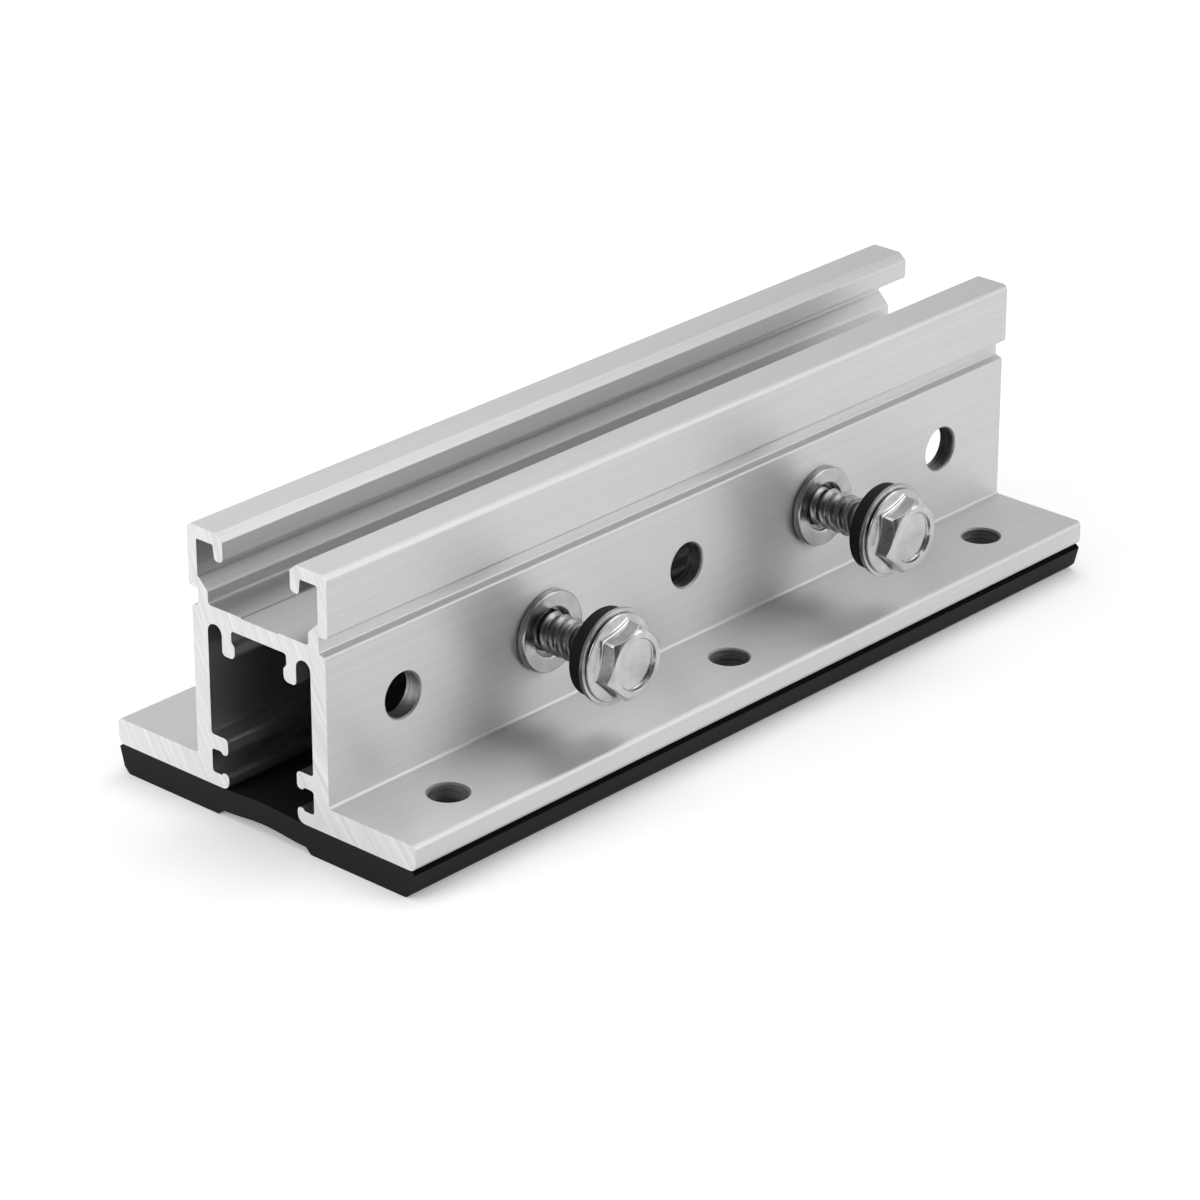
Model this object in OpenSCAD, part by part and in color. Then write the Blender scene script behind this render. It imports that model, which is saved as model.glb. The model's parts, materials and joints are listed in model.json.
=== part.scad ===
// Short mounting rail for a solar roof: an extruded rail on a rubber pad,
// with two part-driven sealing screws in its front wall.
// X runs along the rail, the screws point at -Y, Z is up.
// The origin is the centre of the rail's base, where it meets the pad.

/* [Rail] */
// Length of the rail
rail_l = 150; // [100:1:300]
// Overall width across the base flanges
base_w = 60; // [54:0.5:90]
// Thickness of the base flanges
base_t = 4; // [3:0.1:5]
// Height of the rail from the base to the top of the lips
rail_h = 39.7; // [38:0.1:50]
// Outer width of the box section between base and web
box_w = 26.5; // [25.5:0.1:32]
// Thickness of the box section's walls
wall_t = 3; // [2:0.1:3.2]
// Height of the web's underside above the base
web_z = 25.5; // [25:0.1:27]
// Thickness of the web
web_t = 2.7; // [2:0.1:3]
// Width of the very shallow recess along the top of the web
recess_w = 7.4; // [4:0.1:10]
// Depth of the recess
recess_d = 0.2; // [0.1:0.05:0.3]
// How far the recess lies off the middle
recess_off = -0.35; // [-1:0.05:1]

/* [Channel] */
// Outer width of the open channel on top
channel_w = 27.6; // [27:0.1:34]
// Thickness of the channel's side walls
channel_wall = 1.8; // [1.2:0.1:2.2]
// Clear width between the slanted shoulders at the channel's foot
neck_w = 20; // [18:0.1:21]
// Height of the straight faces under the shoulders
neck_h = 1.9; // [1:0.1:3]
// Clear width between the two lips
mouth_w = 13.4; // [11:0.1:15]
// Width of the bevel along the inner edge of each lip
mouth_bevel = 1.25; // [0.5:0.05:1.5]
// Thickness of the lips
lip_t = 1.95; // [1.5:0.05:2.5]
// Height of the hooks, from their tips to the top of the lips
hook_h = 4.3; // [3.5:0.1:5]
// Thickness of the hooks
hook_t = 1.95; // [1.5:0.05:2.2]
// How far the hooks thin out towards their tips
hook_taper = 0.3; // [0:0.05:0.4]
// Outer width across the grooves under the channel
side_groove_w = 24; // [22.6:0.1:24.4]
// Height of the grooves under the channel
side_groove_h = 2.5; // [1.5:0.1:2.8]
// How far the ledge under each groove slopes down
ledge_drop = 0.4; // [0.3:0.1:1.2]
// Number of fine ridges along each shoulder
ridge_count = 4; // [0:1:4]
// Height of the fine ridges
ridge_h = 0.1; // [0.05:0.05:0.3]

/* [Ribs inside the box] */
// Thickness of the two ribs that hang under the web
hang_rib_t = 1.9; // [1.5:0.1:2.4]
// How far they hang down
hang_rib_h = 4.35; // [3.8:0.05:5]
// Swelling of their inner side near the tip
hang_rib_swell = 0.6; // [0.3:0.1:0.8]
// Width of the round-topped slot between rib and wall
hang_slot_w = 2.85; // [2:0.05:3.2]
// Clear width between the keeper ribs at the foot of the walls
keeper_w = 13.9; // [12:0.1:15]
// Thickness of the upper keeper ribs
keeper_top_t = 2.3; // [1.8:0.1:3]
// Thickness of the lower keeper ribs
keeper_low_t = 2.05; // [1.6:0.05:2.6]
// Height of the groove between them
keeper_slot_h = 3.7; // [3:0.1:4.5]
// Height of the small beads along the keeper ribs' edges
keeper_bead = 0.4; // [0.2:0.05:0.6]

/* [Edges] */
// Rounding of the rail's top edges
top_r = 0.9; // [0.3:0.1:0.9]
// Rounding of the small outside edges
edge_r = 0.7; // [0.2:0.05:0.75]
// Rounding of the inside corners
inside_r = 0.5; // [0.2:0.05:0.6]
// Rounding of the base flanges' lower edges
base_r = 1.1; // [0.4:0.1:1.3]
// Rounding of the edge where each keeper rib meets the pad
keeper_r = 1.3; // [0.6:0.1:1.5]

/* [Holes] */
// Distance of the outer holes from the middle of the rail
hole_x = 60; // [44:0.5:68]
// Diameter of the holes in the base flanges
base_hole_d = 6; // [4:0.1:8]
// Distance between the two rows of base holes
base_hole_span = 43.6; // [40:0.1:50]
// Diameter of the open holes in the front wall
wall_hole_d = 6.9; // [4:0.1:8]
// Height of the wall holes and the screws above the base
wall_hole_z = 16.3; // [14.5:0.1:16.5]
// Size of the broken edge at the mouth of each hole
hole_edge = 0.25; // [0.1:0.05:0.4]

/* [Pad] */
// Thickness of the pad under the flanges
pad_t = 4.5; // [3.5:0.1:6]
// How much narrower the pad is than the rail, on each side
pad_inset = 0.1; // [0:0.1:1]
// How far the pad's sides slant in towards the bottom
pad_slant = 0.8; // [0:0.1:1.5]
// Height of the rise in the middle of the pad
pad_rise = 0.35; // [0.1:0.05:0.6]
// Half of the width of the arch under the pad
pad_arch_w = 9.4; // [8:0.1:11]
// Height of the arch's sides
pad_arch_h = 0.9; // [0.5:0.1:1.4]
// Extra height of the arch in the middle
pad_arch_crown = 0.55; // [0:0.05:0.8]

/* [Screws] */
// Distance of each screw from the middle of the rail
screw_x = 30.5; // [24:0.5:38]
// Outer diameter of the screw thread
thread_d = 6.3; // [4.8:0.1:6.3]
// Length of each screw under its head
screw_l = 25; // [22:0.5:26]
// Diameter of the drill point
point_d = 4.9; // [3.6:0.1:4.9]
// Length of the drill point
point_l = 6.5; // [5:0.1:7]
// Included angle of the drill point's tip
point_angle = 118; // [90:1:130]
// Thickness of the drill point's core between its two flutes
point_core = 1.2; // [0.8:0.1:1.6]
// Diameter of the flutes
flute_d = 3.4; // [2.4:0.1:3.8]
// Tilt of the flutes, by which they run out towards the thread
flute_tilt = 9; // [4:1:14]
// Width of the hexagon across its flats
hex_w = 10; // [8:0.1:10.5]
// Height of the hexagon
hex_h = 2.9; // [2.5:0.1:5]
// Diameter of the round end face inside the hexagon's chamfer
hex_face_d = 9.6; // [8:0.1:10]
// Slope of the chamfer, in degrees
hex_chamfer = 35; // [20:1:45]
// Diameter of the flange under the hexagon
head_flange_d = 13.4; // [12.5:0.1:14]
// Thickness of the flange at its rim
head_flange_t = 0.6; // [0.5:0.1:1.2]
// Rise of the flange's face from its rim to the hexagon
head_flange_rise = 0.3; // [0.1:0.05:0.6]
// Diameter of the shallow dish in the end of the hexagon
dish_d = 7.8; // [5:0.1:8]
// Depth of the dish
dish_depth = 0.25; // [0.1:0.05:0.5]
// Turn of the hexagons about the screws
hex_turn = 16; // [0:1:30]

/* [Washers] */
// Outer diameter of the steel sealing washer
seal_plate_d = 14.6; // [14:0.1:18]
// Thickness of the steel sealing washer
seal_plate_t = 0.8; // [0.6:0.1:1.2]
// Outer diameter of the rubber bonded to it
seal_rubber_d = 13.5; // [12:0.1:14]
// Thickness of the rubber
seal_rubber_t = 2.5; // [1.5:0.1:3]
// Outer diameter of the flat washer against the wall
flat_washer_d = 12.6; // [11:0.1:15]
// Hole in the flat washer
flat_washer_hole = 7.5; // [7:0.1:8]
// Thickness of the flat washer
flat_washer_t = 1.3; // [1:0.1:2]
// Gap between rubber and flat washer on the first screw
stand_out_1 = 9.1; // [6:0.1:9.5]
// Gap between rubber and flat washer on the second screw
stand_out_2 = 10.1; // [6:0.1:10.5]

/* [Fits] */
// Radial clearance of the screws in their holes
shank_fit = 0.05; // [0.02:0.01:0.1]
// Gap between a screw's flange and its sealing washer
head_gap = 0.1; // [0.05:0.05:0.2]

/* [Hidden] */
$fn = 64;
// Largest turn between two points of a rounded corner, in degrees
arc_step = 18;
// How far a cutting shape passes the faces it cuts
past = 1;
base_y = base_w / 2;
box_y = box_w / 2;
box_in = box_y - wall_t;
web_top = web_z + web_t;
channel_y = channel_w / 2;
channel_in = channel_y - channel_wall;
side_groove_y = side_groove_w / 2;
neck_y = neck_w / 2;
neck_top = web_top + neck_h;
mouth_y = mouth_w / 2;
hook_y = mouth_y + hook_t;
hook_z = rail_h - hook_h;
lip_z = rail_h - lip_t;
// The grooves end where the straight faces under the shoulders end
side_groove_top = neck_top;
side_groove_low = side_groove_top - side_groove_h;
hang_out = box_in - hang_slot_w;
hang_in = hang_out - hang_rib_t;
hang_tip = web_z - hang_rib_h;
keeper_y = keeper_w / 2;
keeper_slot_top = keeper_low_t + keeper_slot_h;
keeper_top = keeper_slot_top + keeper_top_t;
bevel_rise = 0.85;
bead_w = 1.1;
bead_slope = 0.35;
shank_hole_d = thread_d + 2 * shank_fit;
hole_places = [-hole_x, 0, hole_x];
screws = [[-screw_x, stand_out_1], [screw_x, stand_out_2]];
// Distance from the wall to the underside of a screw's head
function head_out(gap) =
  flat_washer_t + gap + seal_rubber_t + seal_plate_t + head_gap;

// Outlines

// Corner b between a and c, rounded with radius r, as points on its arc
function corner(a, b, c, r) =
  let (
    to_a = (a - b) / norm(a - b),
    to_c = (c - b) / norm(c - b),
    half = acos(to_a * to_c) / 2
  )
  (r <= 0 || half > 89) ? [b] :
  let (
    reach = r / tan(half),
    start = b + to_a * reach,
    middle = b + (to_a + to_c) / norm(to_a + to_c) * r / sin(half),
    side = sign(to_a[0] * to_c[1] - to_a[1] * to_c[0]),
    turn = 180 - 2 * half,
    steps = ceil(turn / arc_step),
    spoke = start - middle
  )
  [for (i = [0:steps])
    let (t = -side * turn * i / steps)
    middle + [
      spoke[0] * cos(t) - spoke[1] * sin(t),
      spoke[0] * sin(t) + spoke[1] * cos(t)
    ]];

// Closed outline from points [across, up, radius], each corner rounded
function rounded(points) =
  let (n = len(points), flat = [for (p = points) [p[0], p[1]]])
  [for (i = [0:n - 1])
    each corner(flat[(i + n - 1) % n], flat[i], flat[(i + 1) % n], points[i][2])];

// Outline that is the given half and its mirror image at x = 0
function both_halves(half) =
  let (n = len(half))
  concat(half, [for (i = [n - 1:-1:0]) [-half[i][0], half[i][1], half[i][2]]]);

// Saw-tooth points of the fine ridges along one slanted shoulder
function ridges(low, high) =
  let (
    run = high - low,
    out = [-run[1], run[0]] / norm(run) * ridge_h,
    pitch = run / (2 * ridge_count + 2)
  )
  [for (i = [1:1:2 * ridge_count + 1])
    let (p = low + pitch * i + (i % 2 == 0 ? out : [0, 0]))
    [p[0], p[1], 0]];

// Extrudes an outline across and up along the rail, over its whole length
module along_rail(points) {
  rotate([90, 0, 90])
    translate([0, 0, -rail_l / 2])
      linear_extrude(rail_l)
        polygon(rounded(points));
}

// Places a shape that points along +Z on a screw's axis, head towards -Y
module on_screw_axis(x, out) {
  translate([x, -box_y - out, wall_hole_z])
    rotate([90, 0, 0])
      children();
}

// Solid of revolution about Z from points [radius, height, rounding]
module turned(points) {
  rotate_extrude()
    polygon(rounded(points));
}

// Rail

// The half section, from the middle of the web round to the middle again
rib_section = [
  [hang_in, web_z, inside_r],
  [hang_in, hang_tip + 2.6, inside_r],
  [hang_in - hang_rib_swell, hang_tip + 2, inside_r],
  [hang_in - hang_rib_swell, hang_tip, edge_r + 0.2],
  [hang_out, hang_tip, edge_r],
  [hang_out, web_z, hang_slot_w / 2 - 0.01],
  [box_in, web_z, hang_slot_w / 2 - 0.01]
];
keeper_section = [
  [box_in, keeper_top, inside_r],
  [keeper_y, keeper_top, edge_r],
  [keeper_y, keeper_slot_top - keeper_bead, edge_r],
  [keeper_y + bead_w, keeper_slot_top - keeper_bead, 0.2],
  [keeper_y + bead_w + bead_slope, keeper_slot_top, 0.2],
  [box_in, keeper_slot_top, inside_r],
  [box_in, keeper_low_t, inside_r],
  [keeper_y + bead_w + bead_slope, keeper_low_t, 0.2],
  [keeper_y + bead_w, keeper_low_t + keeper_bead, 0.2],
  [keeper_y, keeper_low_t + keeper_bead, edge_r],
  [keeper_y, 0, keeper_r]
];
outer_section = [
  [base_y, 0, base_r],
  [base_y, base_t, edge_r],
  [box_y, base_t, inside_r],
  [box_y, side_groove_low - ledge_drop, 0.4],
  [side_groove_y, side_groove_low, 0.3],
  [side_groove_y, side_groove_top, 0],
  [channel_y, side_groove_top, edge_r],
  [channel_y, rail_h, top_r],
  [mouth_y + mouth_bevel, rail_h, 0.3],
  [mouth_y, rail_h - bevel_rise * mouth_bevel, 0.3],
  [mouth_y, hook_z, edge_r],
  [hook_y - hook_taper, hook_z, inside_r],
  [hook_y, lip_z, 0.2],
  [channel_in, lip_z, 0.3],
  [channel_in, neck_top + channel_in - neck_y, 0]
];
shoulder_section = concat(
  ridge_count > 0
    ? [for (p = ridges([-channel_in, neck_top + channel_in - neck_y],
                       [-neck_y, neck_top])) [-p[0], p[1], 0]]
    : [],
  [[neck_y, neck_top, 0.2], [neck_y, web_top, inside_r]]
);

module hole_cutter(d, depth) {
  translate([0, 0, -past])
    cylinder(h = depth + 2 * past, d = d);
  for (side = [0, 1])
    translate([0, 0, side * depth])
      mirror([0, 0, side])
        translate([0, 0, -past])
          cylinder(h = past + hole_edge,
                   d1 = d + 2 * (past + hole_edge), d2 = d);
}

module base_holes() {
  for (x = hole_places, side = [-1, 1])
    translate([x, side * base_hole_span / 2, 0])
      hole_cutter(base_hole_d, base_t);
}

module wall_holes() {
  for (x = hole_places)
    translate([x, -box_in, wall_hole_z])
      rotate([90, 0, 0])
        hole_cutter(wall_hole_d, wall_t);
}

module screw_holes() {
  for (s = screws)
    translate([s[0], -box_in, wall_hole_z])
      rotate([90, 0, 0])
        translate([0, 0, -past])
          cylinder(h = wall_t + 2 * past, d = shank_hole_d);
}

module web_recess() {
  translate([-rail_l / 2 - past, recess_off - recess_w / 2, web_top - recess_d])
    cube([rail_l + 2 * past, recess_w, past]);
}

module rail() {
  color("silver")
    difference() {
      along_rail(both_halves(
        concat(rib_section, keeper_section, outer_section, shoulder_section)));
      base_holes();
      wall_holes();
      screw_holes();
      web_recess();
    }
}

// Pad

pad_y = base_y - pad_inset;
// Height of the slanted corners of the arch and of the pad's lower edges
pad_bevel = 1;
// Top of the pad where it leaves the rail's base
pad_rise_y = keeper_y + keeper_r;

// Points of a swelling from the middle, height up, down to nothing at reach
function swell(reach, height, base, steps) =
  [for (i = [0:steps])
    [reach * (i + 0.5) / (steps + 1),
     base + height * (1 + cos(180 * (i + 0.5) / (steps + 1))) / 2,
     0]];

// The half section, from the middle of the arch out, up and back in
module rubber_pad() {
  rise = swell(pad_rise_y, pad_rise, 0, 5);
  color([0.06, 0.06, 0.06])
    along_rail(both_halves(concat(
      swell(pad_arch_w - pad_bevel, pad_arch_crown, pad_arch_h - pad_t, 5),
      [
        [pad_arch_w - pad_bevel, pad_arch_h - pad_t, 0.3],
        [pad_arch_w, -pad_t, 0.3],
        [pad_y - pad_slant - pad_bevel, -pad_t, 0.8],
        [pad_y - pad_slant, pad_bevel - pad_t, 0.5],
        [pad_y, -pad_bevel / 2, 0.2],
        [pad_y - pad_bevel * 0.7, 0, 0.2],
        [pad_rise_y, 0, 0]
      ],
      [for (i = [len(rise) - 1:-1:0]) rise[i]])));
}

// Washers

module ring(hole, outer, thick, r) {
  turned([
    [hole / 2, 0, r],
    [outer / 2, 0, r],
    [outer / 2, thick, r],
    [hole / 2, thick, r]
  ]);
}

module flat_washer(s) {
  color([0.62, 0.62, 0.63])
    on_screw_axis(s[0], 0)
      ring(flat_washer_hole, flat_washer_d, flat_washer_t, 0.35);
}

module washer_rubber(s) {
  color([0.06, 0.06, 0.06])
    on_screw_axis(s[0], flat_washer_t + s[1])
      ring(shank_hole_d, seal_rubber_d, seal_rubber_t, 0.15);
}

module washer_plate(s) {
  color([0.7, 0.7, 0.71])
    on_screw_axis(s[0], flat_washer_t + s[1] + seal_rubber_t)
      ring(shank_hole_d, seal_plate_d, seal_plate_t, 0.15);
}

// Screws

hex_corner_d = hex_w / cos(30);
head_top = head_flange_t + head_flange_rise + hex_h;
// Radius of the turned blank that takes the corners off the hexagon
blank_r = hex_corner_d / 2 + 0.5;
blank_edge = head_top - (blank_r - hex_face_d / 2) * tan(hex_chamfer);
tip_h = point_d / 2 / tan(point_angle / 2);

module head() {
  turned([
    [0, 0, 0],
    [head_flange_d / 2, 0, 0.1],
    [head_flange_d / 2, head_flange_t, 0.25],
    [hex_w / 2, head_flange_t + head_flange_rise, 0],
    [0, head_flange_t + head_flange_rise, 0]
  ]);
  difference() {
    intersection() {
      rotate([0, 0, hex_turn])
        cylinder(h = head_top, d = hex_corner_d, $fn = 6);
      turned([
        [0, 0, 0],
        [blank_r, 0, 0],
        [blank_r, blank_edge, 0],
        [hex_face_d / 2, head_top, 0],
        [0, head_top, 0]
      ]);
    }
    translate([0, 0, head_top - dish_depth])
      cylinder(h = dish_depth + past, d1 = dish_d - 2 * dish_depth,
               d2 = dish_d + 2 * past);
  }
}

module drill_point() {
  difference() {
    union() {
      translate([0, 0, tip_h])
        cylinder(h = point_l - tip_h, d = point_d);
      cylinder(h = tip_h, d1 = 0, d2 = point_d);
    }
    for (side = [0, 180])
      rotate([0, flute_tilt, side])
        translate([(point_core + flute_d) / 2, point_d / 8, -past])
          cylinder(h = point_l + 2 * past, d = flute_d);
  }
}

module screw(s) {
  color([0.66, 0.66, 0.67])
    on_screw_axis(s[0], head_out(s[1])) {
      head();
      translate([0, 0, -screw_l + point_l])
        cylinder(h = screw_l - point_l, d = thread_d);
      translate([0, 0, -screw_l])
        drill_point();
    }
}

rail();
rubber_pad();
flat_washer(screws[0]);  // flat_washer_1
washer_rubber(screws[0]);  // washer_rubber_1
washer_plate(screws[0]);  // washer_plate_1
screw(screws[0]);  // screw_1
flat_washer(screws[1]);  // flat_washer_2
washer_rubber(screws[1]);  // washer_rubber_2
washer_plate(screws[1]);  // washer_plate_2
screw(screws[1]);  // screw_2
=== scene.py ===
"""Looks of the solar mini rail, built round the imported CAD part.

The rail and the pad keep the CAD surface, with their split vertices merged and
their shading made smooth. The screws and washers are new surfaces: numpy grids
of rows along the screw's axis and columns round it. The pieces' sizes are in
millimetres until a mesh is made; holes, lamps and the camera are placed in metres.
"""
import json
import math

import bmesh
import bpy
import numpy as np
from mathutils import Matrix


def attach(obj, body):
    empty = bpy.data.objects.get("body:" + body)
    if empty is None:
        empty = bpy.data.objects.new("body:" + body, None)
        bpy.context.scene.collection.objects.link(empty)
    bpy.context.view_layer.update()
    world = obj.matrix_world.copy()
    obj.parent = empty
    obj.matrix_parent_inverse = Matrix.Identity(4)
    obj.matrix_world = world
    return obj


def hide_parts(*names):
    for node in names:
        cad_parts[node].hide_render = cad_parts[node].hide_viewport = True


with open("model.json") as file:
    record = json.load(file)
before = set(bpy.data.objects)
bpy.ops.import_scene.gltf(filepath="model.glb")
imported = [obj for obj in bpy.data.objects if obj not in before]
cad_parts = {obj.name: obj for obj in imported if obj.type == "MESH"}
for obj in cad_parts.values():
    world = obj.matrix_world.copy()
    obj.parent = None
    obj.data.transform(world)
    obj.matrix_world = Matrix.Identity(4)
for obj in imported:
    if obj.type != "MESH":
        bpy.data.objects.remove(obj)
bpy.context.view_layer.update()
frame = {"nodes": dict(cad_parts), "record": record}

MM = 0.001

# Sizes shared with the CAD part and its record
WALL_Y, SCREW_Z, PAD_BOTTOM = 13.25, 16.3, -4.5
# Each screw's place along the rail, and how far its seal stands off the flat washer
SCREWS = {"1": (-30.5, 9.1), "2": (30.5, 10.1)}
FLAT_HOLE_R, FLAT_R, FLAT_T = 3.75, 6.3, 1.3
SHANK_HOLE_R, RUBBER_R, RUBBER_T = 3.2, 6.75, 2.5
PLATE_R, PLATE_T, HEAD_GAP = 7.3, 0.8, 0.1
THREAD_R, PITCH = 3.15, 1.8
SCREW_L, POINT_L, POINT_R, POINT_ANGLE = 25.0, 6.5, 2.45, 118.0
POINT_CORE, FLUTE_R, FLUTE_TILT = 1.2, 1.7, 9.0
HEX_IN_R, HEX_TURN, HEX_H = 5.0, 16.0, 2.9
FLANGE_R, FLANGE_T, FLANGE_RISE = 6.7, 0.6, 0.3

# Finer sizes of the screws, for the looks alone
ROOT_R = 2.5
HEX_FACE_R, HEX_SLOPE, HEX_SOFT = 4.85, 42.0, 0.25
DISH_R, DISH_DEPTH, RIM_T = 4.0, 0.55, 0.35


# Materials

def new_material(name):
    """A material with its nodes on, and its shader."""
    material = bpy.data.materials.new(name)
    material.use_nodes = True
    return material, material.node_tree, material.node_tree.nodes["Principled BSDF"]


def node(tree, kind, **values):
    """A new node with the given input values, and properties in lower case."""
    made = tree.nodes.new("ShaderNode" + kind)
    for key, value in values.items():
        if key[0].islower():
            setattr(made, key, value)
        else:
            made.inputs[key.replace("_", " ")].default_value = value
    return made


def lines_along(tree, scale, detail=3.0):
    """Noise drawn out into lines: object coordinates times scale, per metre."""
    place = node(tree, "TexCoord")
    spread = node(tree, "Mapping", Scale=scale)
    noise = node(tree, "TexNoise", Scale=1.0, Detail=detail, Roughness=0.6)
    tree.links.new(place.outputs["Object"], spread.inputs["Vector"])
    tree.links.new(spread.outputs["Vector"], noise.inputs["Vector"])
    return noise.outputs["Fac"]


def saw_lines(tree, centre, scale, drift=0.035):
    """Noise of the distance from a saw blade's centre beside the end face. The
    lines change slowly down the face, by the share drift of that scale."""
    place = node(tree, "TexCoord")
    off = node(tree, "VectorMath", operation="SUBTRACT")
    off.inputs[1].default_value = centre
    flat = node(tree, "VectorMath", operation="MULTIPLY")
    flat.inputs[1].default_value = (0, 1, 1)
    far = node(tree, "VectorMath", operation="LENGTH")
    grown = node(tree, "Math", operation="MULTIPLY")
    grown.inputs[1].default_value = scale
    split = node(tree, "SeparateXYZ")
    slow = node(tree, "Math", operation="MULTIPLY")
    slow.inputs[1].default_value = scale * drift
    joined = node(tree, "CombineXYZ")
    noise = node(tree, "TexNoise", Scale=1.0, Detail=3.0, Roughness=0.65)
    link = tree.links.new
    link(place.outputs["Object"], off.inputs[0])
    link(off.outputs["Vector"], flat.inputs[0])
    link(flat.outputs["Vector"], far.inputs[0])
    link(far.outputs["Value"], grown.inputs[0])
    link(place.outputs["Object"], split.inputs["Vector"])
    link(split.outputs["Z"], slow.inputs[0])
    link(grown.outputs["Value"], joined.inputs["X"])
    link(slow.outputs["Value"], joined.inputs["Y"])
    link(joined.outputs["Vector"], noise.inputs["Vector"])
    return noise.outputs["Fac"]


def ramp(tree, value, low, high, start=0.3, end=0.7):
    """Maps a value between start and end onto the range low to high."""
    made = node(tree, "MapRange", From_Min=start, From_Max=end, To_Min=low, To_Max=high)
    tree.links.new(value, made.inputs["Value"])
    return made.outputs["Result"]


def grey(tree, value, low, high, start=0.3, end=0.7):
    """The same as a neutral grey colour."""
    level = ramp(tree, value, low, high, start, end)
    made = node(tree, "CombineColor")
    for channel in ("Red", "Green", "Blue"):
        tree.links.new(level, made.inputs[channel])
    return made.outputs["Color"]


def bump(tree, shader, height, distance):
    """Lifts the surface by up to distance, in metres, where height is 1."""
    made = node(tree, "Bump", Distance=distance)
    tree.links.new(height, made.inputs["Height"])
    tree.links.new(made.outputs["Normal"], shader.inputs["Normal"])


def lined_metal(name, tones, rough, stretch, height, pattern):
    """Aluminium with fine lines. Highlights spread across them, along map "lines"."""
    material, tree, shader = new_material(name)
    lines = pattern(tree)
    shader.inputs["Metallic"].default_value = 1.0
    shader.inputs["Roughness"].default_value = rough
    shader.inputs["Anisotropic"].default_value = stretch
    tangent = node(tree, "Tangent", direction_type="UV_MAP", uv_map="lines")
    tree.links.new(tangent.outputs["Tangent"], shader.inputs["Tangent"])
    tree.links.new(grey(tree, lines, *tones), shader.inputs["Base Color"])
    bump(tree, shader, lines, height)
    return material


def mottled_metal(name, tones, rough, height, grain=(900, 900, 900), patch=(240, 240, 240)):
    """Plain steel: its tone varies in broad patches and its roughness in fine grain."""
    material, tree, shader = new_material(name)
    shader.inputs["Metallic"].default_value = 1.0
    fine = lines_along(tree, grain, 4.0)
    broad = lines_along(tree, patch, 2.0)
    tree.links.new(grey(tree, broad, *tones), shader.inputs["Base Color"])
    tree.links.new(ramp(tree, fine, *rough), shader.inputs["Roughness"])
    bump(tree, shader, fine, height)
    return material


def rubber(name, tone, rough, grain, height, shine=0.2):
    """Matte black rubber with a fine grain."""
    material, tree, shader = new_material(name)
    shader.inputs["Base Color"].default_value = (tone, tone, tone, 1)
    shader.inputs["Roughness"].default_value = rough
    shader.inputs["Specular IOR Level"].default_value = shine
    bump(tree, shader, lines_along(tree, grain, 4.0), height)
    return material


mill = lined_metal(
    "Aluminium_mill", (0.58, 0.63), 0.46, 0.82, 0.000003,
    lambda tree: lines_along(tree, (18, 3600, 3600)))
sawn = lined_metal(
    "Aluminium_sawn", (0.72, 0.90), 0.5, 0.5, 0.00004,
    lambda tree: saw_lines(tree, (0, -0.108, 0.077), 1200))
# The bores' lines are turning marks; their dark tone also paints the shade inside the holes
bored_wall = lined_metal(
    "Aluminium_bored_across", (0.2, 0.6), 0.52, 0.0, 0.00005,
    lambda tree: lines_along(tree, (120, 2400, 120)))
bored_base = lined_metal(
    "Aluminium_bored_upright", (0.2, 0.6), 0.7, 0.0, 0.00005,
    lambda tree: lines_along(tree, (120, 120, 2400)))
steel = mottled_metal("Steel_screw", (0.40, 0.58), (0.12, 0.24), 0.00002)
# The thread's steel is a darker copy of the screw's steel: painted shade on the shank
shaded_thread_steel = mottled_metal(
    "Steel_thread_painted_shade", (0.20, 0.40), (0.22, 0.38), 0.00004, (260, 4200, 260))
washer_steel = mottled_metal("Steel_washer", (0.36, 0.52), (0.14, 0.26), 0.00002)
pad_rubber = rubber("Rubber_pad", 0.006, 0.62, (300, 1400, 1400), 0.00002)
# The same pad rubber with almost no specular, for the strip under the flanges' edges: painted
# shade
pad_shade_strip_rubber = rubber("Rubber_pad_painted_shade", 0.006, 0.62, (300, 1400, 1400), 0.00002, 0.01)
seal_rubber = rubber("Rubber_seal", 0.006, 0.6, (1500, 1500, 1500), 0.00002)


# Pieces that keep the CAD surface

def flat_groups(faces, normals, same=0.99997):
    """Number of each face's group: faces that share an edge and lie in one plane,
    where the dot product of their normals is above same."""
    parent = list(range(len(faces)))

    def top(i):
        while parent[i] != i:
            parent[i] = parent[parent[i]]
            i = parent[i]
        return i

    seen = {}
    for f, face in enumerate(faces):
        for a, b in zip(face, face[1:] + face[:1]):
            edge = (min(a, b), max(a, b))
            if edge in seen:
                g = seen[edge]
                if normals[f] @ normals[g] > same:
                    parent[top(f)] = top(g)
            else:
                seen[edge] = f
    return np.array([top(i) for i in range(len(faces))])


def corner_normals(faces, normals, areas, groups, limit=42.0):
    """A normal for each corner of each face: those of the flat groups that meet
    there, within limit degrees of the face, each weighted by its group's area, so
    that large flats stay flat and the roundings between them turn smoothly."""
    weight = np.bincount(groups, areas, len(groups))
    around = {}
    for f, face in enumerate(faces):
        for v in face:
            around.setdefault(v, {})[groups[f]] = normals[f]
    close = math.cos(math.radians(limit))
    out = []
    for f, face in enumerate(faces):
        for v in face:
            total = sum(n * weight[g] for g, n in around[v].items() if n @ normals[f] > close)
            out.append(total / np.linalg.norm(total))
    return out


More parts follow.
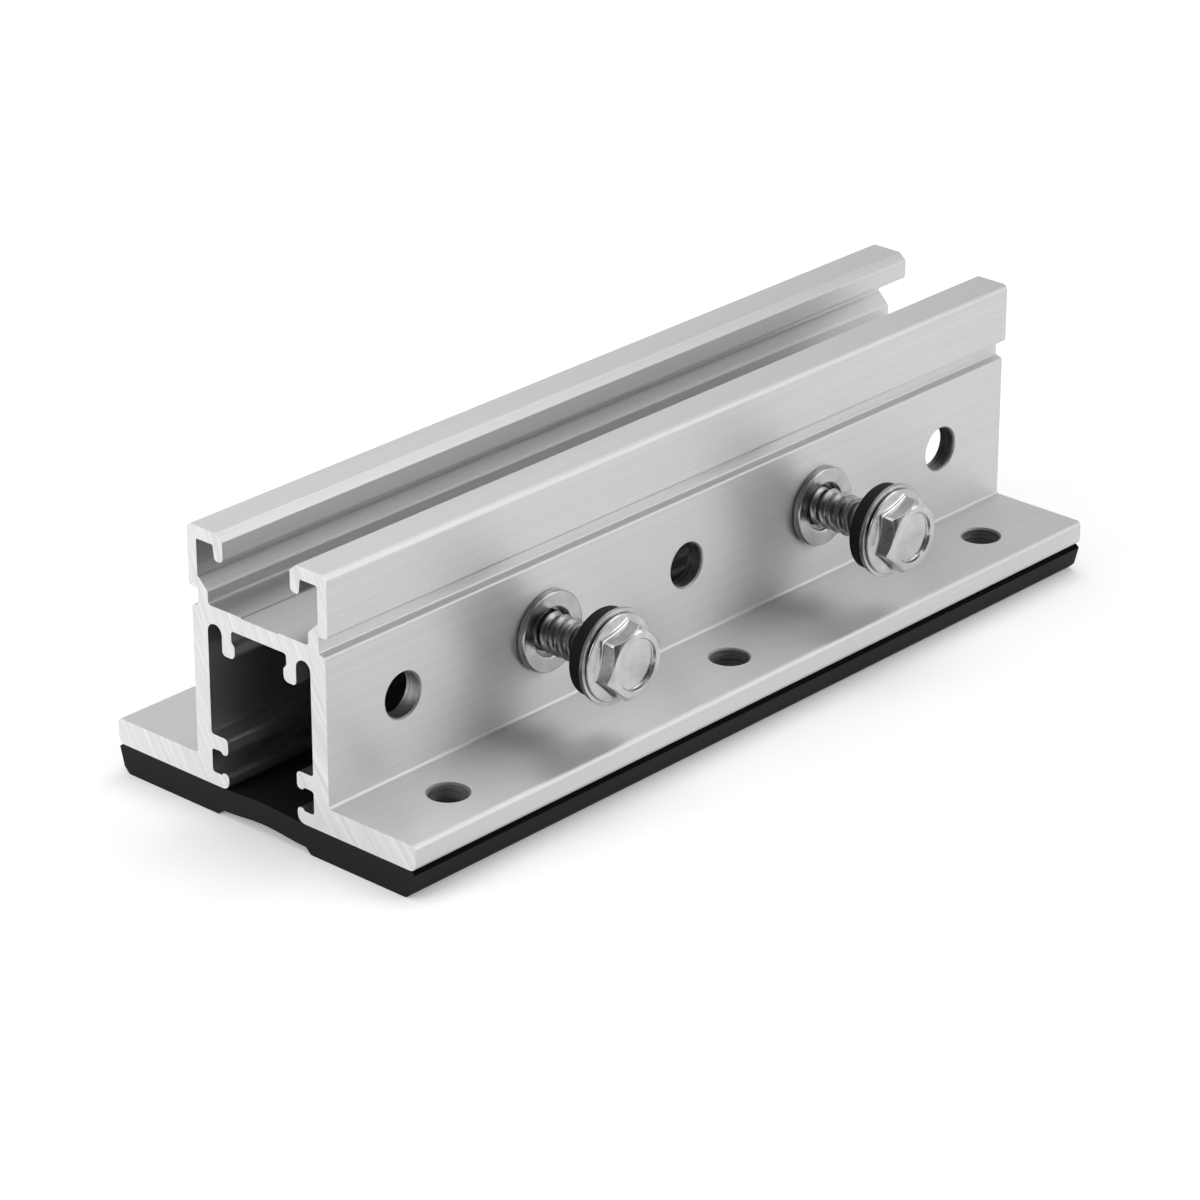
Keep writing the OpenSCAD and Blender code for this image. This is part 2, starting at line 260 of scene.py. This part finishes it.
def merged_copy(cad_node, name, near=2e-6):
    """A new piece with the CAD node's surface. Vertices nearer than near, in metres,
    are merged."""
    mesh = bpy.data.meshes.new(name)
    work = bmesh.new()
    work.from_mesh(frame["nodes"][cad_node].data)
    bmesh.ops.remove_doubles(work, verts=work.verts, dist=near)
    work.to_mesh(mesh)
    work.free()
    for extra in ("custom_normal", "sharp_edge", "sharp_face"):
        if extra in mesh.attributes:
            mesh.attributes.remove(mesh.attributes[extra])
    while mesh.uv_layers:
        mesh.uv_layers.remove(mesh.uv_layers[0])
    faces = [list(p.vertices) for p in mesh.polygons]
    normals = np.array([p.normal[:] for p in mesh.polygons])
    areas = np.array([p.area for p in mesh.polygons])
    groups = flat_groups(faces, normals)
    mesh.shade_smooth()
    mesh.normals_split_custom_set(
        [tuple(n) for n in corner_normals(faces, normals, areas, groups)])
    piece = bpy.data.objects.new(name, mesh)
    bpy.context.scene.collection.objects.link(piece)
    mesh.materials.clear()
    return piece


def hole_axes():
    """Centre, direction and radius of each drilled hole, from the record's mounts
    and the screws' places, in metres."""
    found = []
    for mount in frame["record"]["mounts"]:
        if mount["kind"] != "bolt_pattern":
            continue
        centre, axis, dims = np.array(mount["pos_m"]), np.abs(mount["axis"]), mount["dims"]
        first, second = [e for e in np.eye(3) if abs(e @ axis) < 0.5]
        for i in (-0.5, 0.5):
            for j in (-0.5, 0.5):
                place = (centre + first * i * dims.get("spacing_x_mm", 0) * MM
                         + second * j * dims.get("spacing_y_mm", 0) * MM)
                found.append((place, axis, dims["hole_r_mm"] * MM))
    for x, out in SCREWS.values():
        found.append((np.array([x, -WALL_Y, SCREW_Z]) * MM, np.array([0.0, 1, 0]),
                      SHANK_HOLE_R * MM))
    return found


def bore_axis(normal, centre, holes, skin=0.0004):
    """Direction of the drilled hole whose wall the face is, or None: the face's
    centre lies within the hole's radius and a skin, and it doesn't face along it."""
    found = None
    for place, axis, r in holes:
        off = centre - place
        off = off - (off @ axis) * axis
        if np.linalg.norm(off) < r + skin and abs(normal @ axis) < 0.9:
            found = axis
    return found


def dress_rail(piece):
    """Sorts the rail's faces into mill finish, sawn ends and drilled bores, and
    lays the map "lines" on them: u runs across the lines and v along them."""
    mesh = piece.data
    for material in (mill, sawn, bored_wall, bored_base):
        mesh.materials.append(material)
    milled, cut, across, upright = range(4)
    holes = hole_axes()
    layer = mesh.uv_layers.new(name="lines").data
    along_x = np.array([1.0, 0, 0])
    saw_u, saw_v = np.array([0, 0.866, -0.5]), np.array([0, 0.5, 0.866])
    for face in mesh.polygons:
        n = np.array(face.normal[:])
        bore = bore_axis(n, np.array(face.center[:]), holes)
        if bore is not None:
            kind, u_axis = (across if bore[1] > 0.5 else upright), bore
            v_axis = np.cross(n, u_axis)
        elif abs(n[0]) > 0.95:
            kind, u_axis, v_axis = cut, saw_u, saw_v
        else:
            kind, u_axis, v_axis = milled, np.cross(n, along_x), along_x
            u_axis = u_axis / np.linalg.norm(u_axis)
        face.material_index = kind
        for i in face.loop_indices:
            p = np.array(mesh.vertices[mesh.loops[i].vertex_index].co[:])
            layer[i].uv = (p @ u_axis / MM, p @ v_axis / MM)


rail = merged_copy("rail", "Rail")
dress_rail(rail)
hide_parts("rail")
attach(rail, "rail_body")

pad = merged_copy("rubber_pad", "Rubber_Pad")
pad.data.materials.append(pad_rubber)
pad.data.materials.append(pad_shade_strip_rubber)
# The slanted strip along the pad's top edges, under the flanges' edges, has almost no
# specular: a black strip of painted shade under the flanges' overhang
SHADE_STRIP_Z, SHADE_STRIP_Y = -0.55 * MM, 28 * MM
for face in pad.data.polygons:
    face.material_index = int(face.center.z > SHADE_STRIP_Z and abs(face.center.y) > SHADE_STRIP_Y)
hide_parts("rubber_pad")
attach(pad, "rail_body")


# Pieces made of rows along an axis and columns round it

def columns():
    """Angles round a screw, in degrees. They are closest at the hexagon's corners."""
    half = [0, 0.65, 1.3, 3, 6, 10, 15, 20, 25]
    sector = sorted({-a for a in half} | set(half)) + [30]
    return np.array([HEX_TURN + 60 * k + a for k in range(6) for a in sector])


ANGLES = np.radians(columns())


def polar(r, t, z):
    """Points [r cos t, r sin t, z]."""
    r, t, z = np.broadcast_arrays(r, t, z)
    return np.stack([r * np.cos(t), r * np.sin(t), z], -1)


def grid_faces(rows, cols, first=0, ring=False):
    """Faces between neighbouring rows, with the last column joined to the first.
    ring also joins the last row to the first."""
    j = np.arange(rows if ring else rows - 1)[:, None]
    i = np.arange(cols)[None, :]
    below, above = (j % rows) * cols, ((j + 1) % rows) * cols
    right = (i + 1) % cols
    quads = np.stack([below + i, below + right, above + right, above + i], -1)
    return first + quads.reshape(-1, 4)


def make_piece(name, points, faces, axis_x, base, material, cad_node, body,
               sharp, near=1e-6, shortest=1e-7):
    """A piece from points [across, up, out] about a screw's axis, in millimetres:
    out is towards -Y from the height base, which is measured from the wall. Edges
    sharper than sharp degrees stay crisp. Vertices nearer than near are merged and
    edges under shortest dissolved, both in metres."""
    x, up, out = points.T
    world = np.stack([axis_x + x, -(WALL_Y + base) - out, SCREW_Z + up], 1) * MM
    mesh = bpy.data.meshes.new(name)
    mesh.from_pydata(world.tolist(), [], faces.tolist())
    work = bmesh.new()
    work.from_mesh(mesh)
    bmesh.ops.remove_doubles(work, verts=work.verts, dist=near)
    bmesh.ops.dissolve_degenerate(work, edges=work.edges, dist=shortest)
    work.to_mesh(mesh)
    work.free()
    mesh.shade_smooth()
    mesh.set_sharp_from_angle(angle=math.radians(sharp))
    piece = bpy.data.objects.new(name, mesh)
    bpy.context.scene.collection.objects.link(piece)
    mesh.materials.append(material)
    weighted = piece.modifiers.new("Even_shading", "WEIGHTED_NORMAL")
    weighted.keep_sharp = True
    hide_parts(cad_node)
    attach(piece, body)
    return piece


def arc(centre, radius, start, end, steps):
    """Points on an arc in the plane of radius and height, angles in degrees."""
    turn = np.radians(np.linspace(start, end, steps + 1))
    return [(centre[0] + radius * math.cos(t), centre[1] + radius * math.sin(t)) for t in turn]


def ring_profile(inner, outer, thick, low, high):
    """Closed outline of a washer: from the inner edge out, up and back in. The
    edges are rounded with radius low at the foot and high at the top."""
    return (arc((outer - low, low), low, -90, 0, 5)
            + arc((outer - high, thick - high), high, 0, 90, 5)
            + arc((inner + high, thick - high), high, 90, 180, 4)
            + arc((inner + low, low), low, 180, 270, 4))


def washer(name, cad_node, number, base, profile, material, body, cols=96):
    """Solid of revolution: [r cos t, r sin t, h] for each profile point (r, h)."""
    rows = np.array(profile)
    turn = np.linspace(0, 2 * np.pi, cols, endpoint=False)
    points = polar(rows[:, :1], turn, rows[:, 1:]).reshape(-1, 3)
    faces = grid_faces(len(rows), cols, ring=True)
    return make_piece(name, points, faces, SCREWS[number][0], base, material,
                      cad_node, body, sharp=50.0)


def hex_radius(t):
    """Polar radius at angle t of the hexagon, whose corners are arcs of radius soft:
    on a flat it is R / cos(30 - a), with a the angle from the nearest corner, and on
    an arc about the place c it is c cos a + sqrt(soft^2 - (c sin a)^2)."""
    soft = HEX_SOFT
    a = (t - math.radians(HEX_TURN) + math.pi / 6) % (math.pi / 3) - math.pi / 6
    core = (HEX_IN_R - soft) / math.cos(math.pi / 6)
    flat = HEX_IN_R / np.cos(math.pi / 6 - np.abs(a))
    under = np.maximum(soft ** 2 - (core * np.sin(a)) ** 2, 0)
    tip = core * np.cos(a) + np.sqrt(under)
    reach = math.atan2(soft / 2, core + soft * math.cos(math.pi / 6))
    return np.where(np.abs(a) <= reach, tip, flat)


def head_rows():
    """Rows of the head from the shank out: flange, fillet, hexagon, chamfer, dish.
    Radius and height of a row are single numbers where it is round. The flange
    rises as a cone, and the chamfer's edge lies at top - (r - face) tan(slope)."""
    top = FLANGE_T + FLANGE_RISE + HEX_H
    sunk = top - DISH_DEPTH
    hexagon = hex_radius(ANGLES)
    steep = math.tan(math.radians(HEX_SLOPE))
    edge = top - (hexagon - HEX_FACE_R) * steep

    def cone(r):
        rise = FLANGE_T + FLANGE_RISE - RIM_T
        return RIM_T + rise * (FLANGE_R - r) / (FLANGE_R - HEX_IN_R)

    foot = ([(ROOT_R, 0.0), (FLANGE_R - 2.2, 0.0)]
            + arc((FLANGE_R - 0.05, 0.05), 0.05, -90, 0, 3)
            + arc((FLANGE_R - 0.2, RIM_T - 0.15), 0.2, 0, 70, 4))
    start = foot[-1][0] - 0.12
    fillet = [(hexagon + out, cone(hexagon + out) + up) for out, up in (
        (0.42, 0.0), (0.22, 0.05), (0.09, 0.14), (0.02, 0.28), (0.0, 0.42))]
    bevel = [(hexagon, edge - 0.07), (hexagon - 0.02, edge - 0.015),
             (hexagon - 0.07, edge + 0.07 * steep)]
    face = [(HEX_FACE_R + 0.03, top - 0.02), (HEX_FACE_R - 0.04, top)]
    dish = [(DISH_R + 0.05, top), (DISH_R, top - 0.03), (DISH_R - 0.16, sunk + 0.08),
            (DISH_R - 0.26, sunk), (0.4 * DISH_R, sunk), (0.0, sunk)]
    rows = foot + [(start, cone(start))] + fillet + bevel + face + dish
    return [np.broadcast_arrays(r, z, ANGLES)[:2] for r, z in rows]


def point_rows():
    """Rows of the drill point from its tip up. Along a ray at angle t the surface
    lies at min(barrel, cone, flute), where a flute of radius f about the place c
    cuts the ray at c.u - sqrt((c.u)^2 - c.c + f^2), u = (cos t, sin t)."""
    slope = math.tan(math.radians(POINT_ANGLE / 2))
    tip_h = POINT_R / slope
    lean = math.radians(FLUTE_TILT)
    count = len(ANGLES) // 2
    rows = []
    heights = np.concatenate([
        np.linspace(0.0, tip_h, 7), np.linspace(tip_h + 0.35, POINT_L, 14)])
    for h in heights:
        barrel = min(POINT_R, max(h * slope, 1e-4))
        cx = (POINT_CORE / 2 + FLUTE_R) / math.cos(lean) + h * math.tan(lean)
        cy = POINT_R / 4
        far = math.hypot(cx, cy)
        fit = (far ** 2 + barrel ** 2 - FLUTE_R ** 2) / (2 * far * barrel)
        half = max(math.acos(min(max(fit, -1), 1)), 0.5)
        cut = np.linspace(-half, half, count // 2, endpoint=False)
        rest = np.linspace(half, math.pi - half, count - count // 2, endpoint=False)
        own = np.concatenate([cut, rest]) + math.atan2(cy, cx)
        own = np.concatenate([own, own + math.pi])
        start = ANGLES[0] - 2 * math.pi * round((ANGLES[0] - own[0]) / (2 * math.pi))
        plain = start + (ANGLES - ANGLES[0])
        # The columns follow the flutes, and turn to the thread's in the last 2 mm
        blend = min(1.0, (POINT_L - h) / 2.0)
        t = own * blend + plain * (1 - blend)
        r = np.full(len(t), barrel)
        for side in (1, -1):
            along = side * (cx * np.cos(t) + cy * np.sin(t))
            under = along ** 2 - far ** 2 + FLUTE_R ** 2
            hit = (under > 0) & (along > 0)
            r = np.where(hit, np.minimum(r, along - np.sqrt(np.maximum(under, 0))), r)
        rows.append((r, t, np.full(len(t), h - SCREW_L)))
    return rows


# One turn of the thread: height within the turn, and share of the thread's depth
THREAD_SHAPE = [(0.0, 0.95), (0.06, 1.0), (0.13, 0.92), (0.28, 0.52), (0.43, 0.12),
                (0.56, 0.0), (0.9, 0.0), (1.24, 0.0), (1.37, 0.12), (1.52, 0.52),
                (1.67, 0.92), (1.74, 1.0)]


def thread_points(fade_in=2.2, fade_out=0.5):
    """Points of the rolled thread: z = low + pitch (s + t / 2 pi), where s is the
    turn and t the angle, and r = root + depth * shape(s), fading out at both ends.
    Rows past an end fall together on its circle."""
    low, high = POINT_L - SCREW_L, 0.0
    turns = range(-2, int((high - low) / PITCH) + 3)
    phase = np.array([k * PITCH + s for k in turns for s, _ in THREAD_SHAPE])
    level = np.array([v for _ in turns for _, v in THREAD_SHAPE])
    t = ANGLES - ANGLES[0]
    z = low + phase[:, None] + PITCH * t[None, :] / (2 * np.pi)
    fade = np.clip((z - low) / fade_in, 0, 1) * np.clip((high - z) / fade_out, 0, 1)
    r = ROOT_R + (THREAD_R - ROOT_R) * level[:, None] * fade
    return polar(r, ANGLES, np.clip(z, low, high))


def thread_faces(rows, cols, first):
    """Faces of the thread. Its last column joins the first one a turn higher."""
    j = np.arange(rows - 1)[:, None]
    i = np.arange(cols - 1)[None, :]
    inner = np.stack(
        [j * cols + i, j * cols + i + 1, (j + 1) * cols + i + 1, (j + 1) * cols + i], -1)
    j = np.arange(rows - 1 - len(THREAD_SHAPE))
    up = j + len(THREAD_SHAPE)
    seam = np.stack(
        [j * cols + cols - 1, up * cols, (up + 1) * cols, (j + 1) * cols + cols - 1], -1)
    return first + np.concatenate([inner.reshape(-1, 4), seam])


def make_screw(number, base):
    """One closed skin: drill point, thread and head, joined ring to ring."""
    axis_x = SCREWS[number][0]
    cols = len(ANGLES)
    low = np.array([polar(r, t, z) for r, t, z in point_rows()]
                   + [polar(ROOT_R, ANGLES, POINT_L - SCREW_L)])
    middle = thread_points()
    high = np.array([polar(r, ANGLES, z) for r, z in head_rows()])
    points = np.concatenate([rows.reshape(-1, 3) for rows in (low, middle, high)])
    past_low = len(low) * cols
    past_middle = past_low + len(middle) * cols
    faces = np.concatenate([
        grid_faces(len(low), cols), thread_faces(len(middle), cols, past_low),
        grid_faces(len(high), cols, first=past_middle)])
    piece = make_piece(
        "Screw_" + number, points, faces, axis_x, base, steel,
        "screw_" + number, "screw_body_" + number, sharp=28.0)
    # The shank and point behind the head take the darker copy of the steel: painted shade
    piece.data.materials.append(shaded_thread_steel)
    for face in piece.data.polygons:
        x, y, z = face.center
        behind = y > -(WALL_Y + base) * MM
        if behind and math.hypot(x - axis_x * MM, z - SCREW_Z * MM) < SHANK_HOLE_R * MM:
            face.material_index = 1


for number, (_, out) in SCREWS.items():
    seal = FLAT_T + out
    plate = seal + RUBBER_T
    washer("Flat_Washer_" + number, "flat_washer_" + number, number, 0.0,
           ring_profile(FLAT_HOLE_R, FLAT_R, FLAT_T, 0.35, 0.35), washer_steel,
           "rail_body")
    washer("Seal_Rubber_" + number, "washer_rubber_" + number, number, seal,
           ring_profile(SHANK_HOLE_R, RUBBER_R, RUBBER_T, 0.3, 0.05), seal_rubber,
           "seal_body_" + number)
    washer("Seal_Plate_" + number, "washer_plate_" + number, number, plate,
           ring_profile(SHANK_HOLE_R, PLATE_R, PLATE_T, 0.12, 0.08), washer_steel,
           "seal_body_" + number)
    make_screw(number, plate + PLATE_T + HEAD_GAP)


# Stage, light and camera

# Direction of the studio's unlit side, left of the front and a little up
UNLIT_SIDE = (-0.69, -0.62, 0.37)


def make_floor(half=3.0, gap=0.00002, lift=0.1, white_level=2.25):
    """A wide pale floor, a little below the pad. Camera, glossy and transmission
    rays see it lifted to white, by the share lift of a white light, with the
    object's soft shadow left on it. Mirrors see less of that on the unlit side."""
    mesh = bpy.data.meshes.new("Floor")
    z = PAD_BOTTOM * MM - gap
    mesh.from_pydata([(-half, -half, z), (half, -half, z), (half, half, z), (-half, half, z)],
                     [], [(0, 1, 2, 3)])
    floor = bpy.data.objects.new("Floor", mesh)
    bpy.context.scene.collection.objects.link(floor)
    material, tree, shader = new_material("Floor_pale")
    seen = seen_rays(tree)
    link = tree.links.new
    link(grey(tree, seen, 0.8, 1.0, 0.0, 1.0), shader.inputs["Base Color"])
    shader.inputs["Roughness"].default_value = 0.9
    shader.inputs["Specular IOR Level"].default_value = 0.1
    part = node(tree, "Math", operation="MULTIPLY")
    part.inputs[1].default_value = lift
    white = node(tree, "Emission")
    whole = node(tree, "Value")
    whole.outputs["Value"].default_value = white_level
    place = node(tree, "TexCoord")
    mix = node(tree, "MixShader")
    unlit = facing(tree, place.outputs["Object"], low=0.0, high=0.9, start=0.045, end=0.10)
    link(dimmed(tree, whole.outputs["Value"], unlit), white.inputs["Strength"])
    link(seen, part.inputs[0])
    link(part.outputs["Value"], mix.inputs["Fac"])
    link(shader.outputs["BSDF"], mix.inputs[1])
    link(white.outputs["Emission"], mix.inputs[2])
    link(mix.outputs["Shader"], tree.nodes["Material Output"].inputs["Surface"])
    mesh.materials.append(material)


def seen_rays(tree):
    """1 for camera, glossy and transmission rays, otherwise 0."""
    path = node(tree, "LightPath")
    first = node(tree, "Math", operation="MAXIMUM")
    second = node(tree, "Math", operation="MAXIMUM")
    link = tree.links.new
    link(path.outputs["Is Camera Ray"], first.inputs[0])
    link(path.outputs["Is Glossy Ray"], first.inputs[1])
    link(first.outputs["Value"], second.inputs[0])
    link(path.outputs["Is Transmission Ray"], second.inputs[1])
    return second.outputs["Value"]


def facing(tree, place, low, high, start, end):
    """Ramp of how far a place or direction lies towards the studio's unlit side:
    its dot product with that direction, from start to end, gives low to high."""
    along = node(tree, "VectorMath", operation="DOT_PRODUCT")
    along.inputs[1].default_value = UNLIT_SIDE
    tree.links.new(place, along.inputs[0])
    return ramp(tree, along.outputs["Value"], low, high, start, end)


def dimmed(tree, level, cut):
    """The level, less its share cut for glossy rays only."""
    path = node(tree, "LightPath")
    share = node(tree, "Math", operation="MULTIPLY")
    rest = node(tree, "Math", operation="SUBTRACT")
    rest.inputs[0].default_value = 1.0
    out = node(tree, "Math", operation="MULTIPLY")
    link = tree.links.new
    link(path.outputs["Is Glossy Ray"], share.inputs[0])
    link(cut, share.inputs[1])
    link(share.outputs["Value"], rest.inputs[1])
    link(level, out.inputs[0])
    link(rest.outputs["Value"], out.inputs[1])
    return out.outputs["Value"]


def make_world(diffuse=0.55):
    """White where it is seen or mirrored, with two dimmer zones in mirrors only,
    high up and on the unlit side, and the level diffuse for all other rays."""
    world = bpy.data.worlds.new("Studio")
    bpy.context.scene.world = world
    world.use_nodes = True
    tree = world.node_tree
    link = tree.links.new
    back = tree.nodes["Background"]
    back.inputs["Color"].default_value = (1, 1, 1, 1)
    place = node(tree, "TexCoord")
    split = node(tree, "SeparateXYZ")
    cut = node(tree, "Math", operation="MAXIMUM")
    link(place.outputs["Generated"], split.inputs["Vector"])
    high_up = ramp(tree, split.outputs["Z"], low=0.0, high=0.42, start=0.27, end=0.45)
    unlit = facing(tree, place.outputs["Generated"], low=0.0, high=0.88, start=0.5, end=0.76)
    link(high_up, cut.inputs[0])
    link(unlit, cut.inputs[1])
    level = ramp(tree, seen_rays(tree), diffuse, 1.0, 0.0, 1.0)
    link(dimmed(tree, level, cut.outputs["Value"]), back.inputs["Strength"])


def soft_lamp(name, place, size, power):
    """A square lamp at that place, facing the object; size in metres, power in watts."""
    lamp = bpy.data.lights.new(name, "AREA")
    lamp.size = size
    lamp.energy = power
    lit = bpy.data.objects.new(name, lamp)
    lit.location = place
    lit.visible_camera = False
    direction = -lit.location
    lit.rotation_euler = direction.to_track_quat("-Z", "Y").to_euler()
    bpy.context.scene.collection.objects.link(lit)


make_floor()
make_world()
soft_lamp("Key", (0.75, -0.95, 0.62), 0.7, 2.7)
soft_lamp("Side", (-1.1, 0.35, 0.5), 0.7, 4.8)
soft_lamp("Top", (0.0, 0.2, 1.3), 0.9, 2.6)
soft_lamp("High", (0.5, 0.1, 0.95), 0.5, 1.7)

# The photograph's camera, solved from the rail's edges; angles in degrees
EYE, DIP, TURN = (-0.49080, -0.44375, 0.31062), 24.684, -47.613
camera = bpy.data.cameras.new("Camera")
camera.lens = 144.74
camera.sensor_width = 36.0
camera.sensor_fit = "HORIZONTAL"
camera.clip_start, camera.clip_end = 0.05, 20.0
eye = bpy.data.objects.new("Camera", camera)
eye.location = EYE
eye.rotation_euler = (math.radians(90 - DIP), 0.0, math.radians(TURN))
bpy.context.scene.collection.objects.link(eye)
bpy.context.scene.camera = eye
bpy.context.scene.view_settings.view_transform = "Standard"
